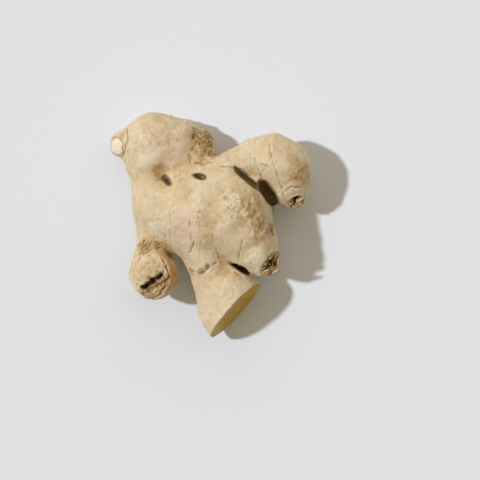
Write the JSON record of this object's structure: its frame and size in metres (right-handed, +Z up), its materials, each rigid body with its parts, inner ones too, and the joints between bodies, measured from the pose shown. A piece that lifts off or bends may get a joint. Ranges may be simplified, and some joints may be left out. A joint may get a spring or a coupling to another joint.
{
  "type": "ginger root",
  "caption": "Whole fresh ginger root: a lying hand of knobbly rounded limbs with ring scars, dried stem scars, a split corky knob and one finger cut flat by a knife.",
  "frame": {"origin": "on the surface that the root lies on, under the middle of its bounding box", "axes": "+Y runs the long way, from the cut finger towards the rounded head; +X points to the side that the long finger leans to; +Z is up"},
  "size_m": [0.1012, 0.1136, 0.042],
  "materials": {
    "ginger_skin": "matte"
  },
  "bodies": {
    "root": {"ginger_root": "ginger_skin"}
  },
  "joints": []
}
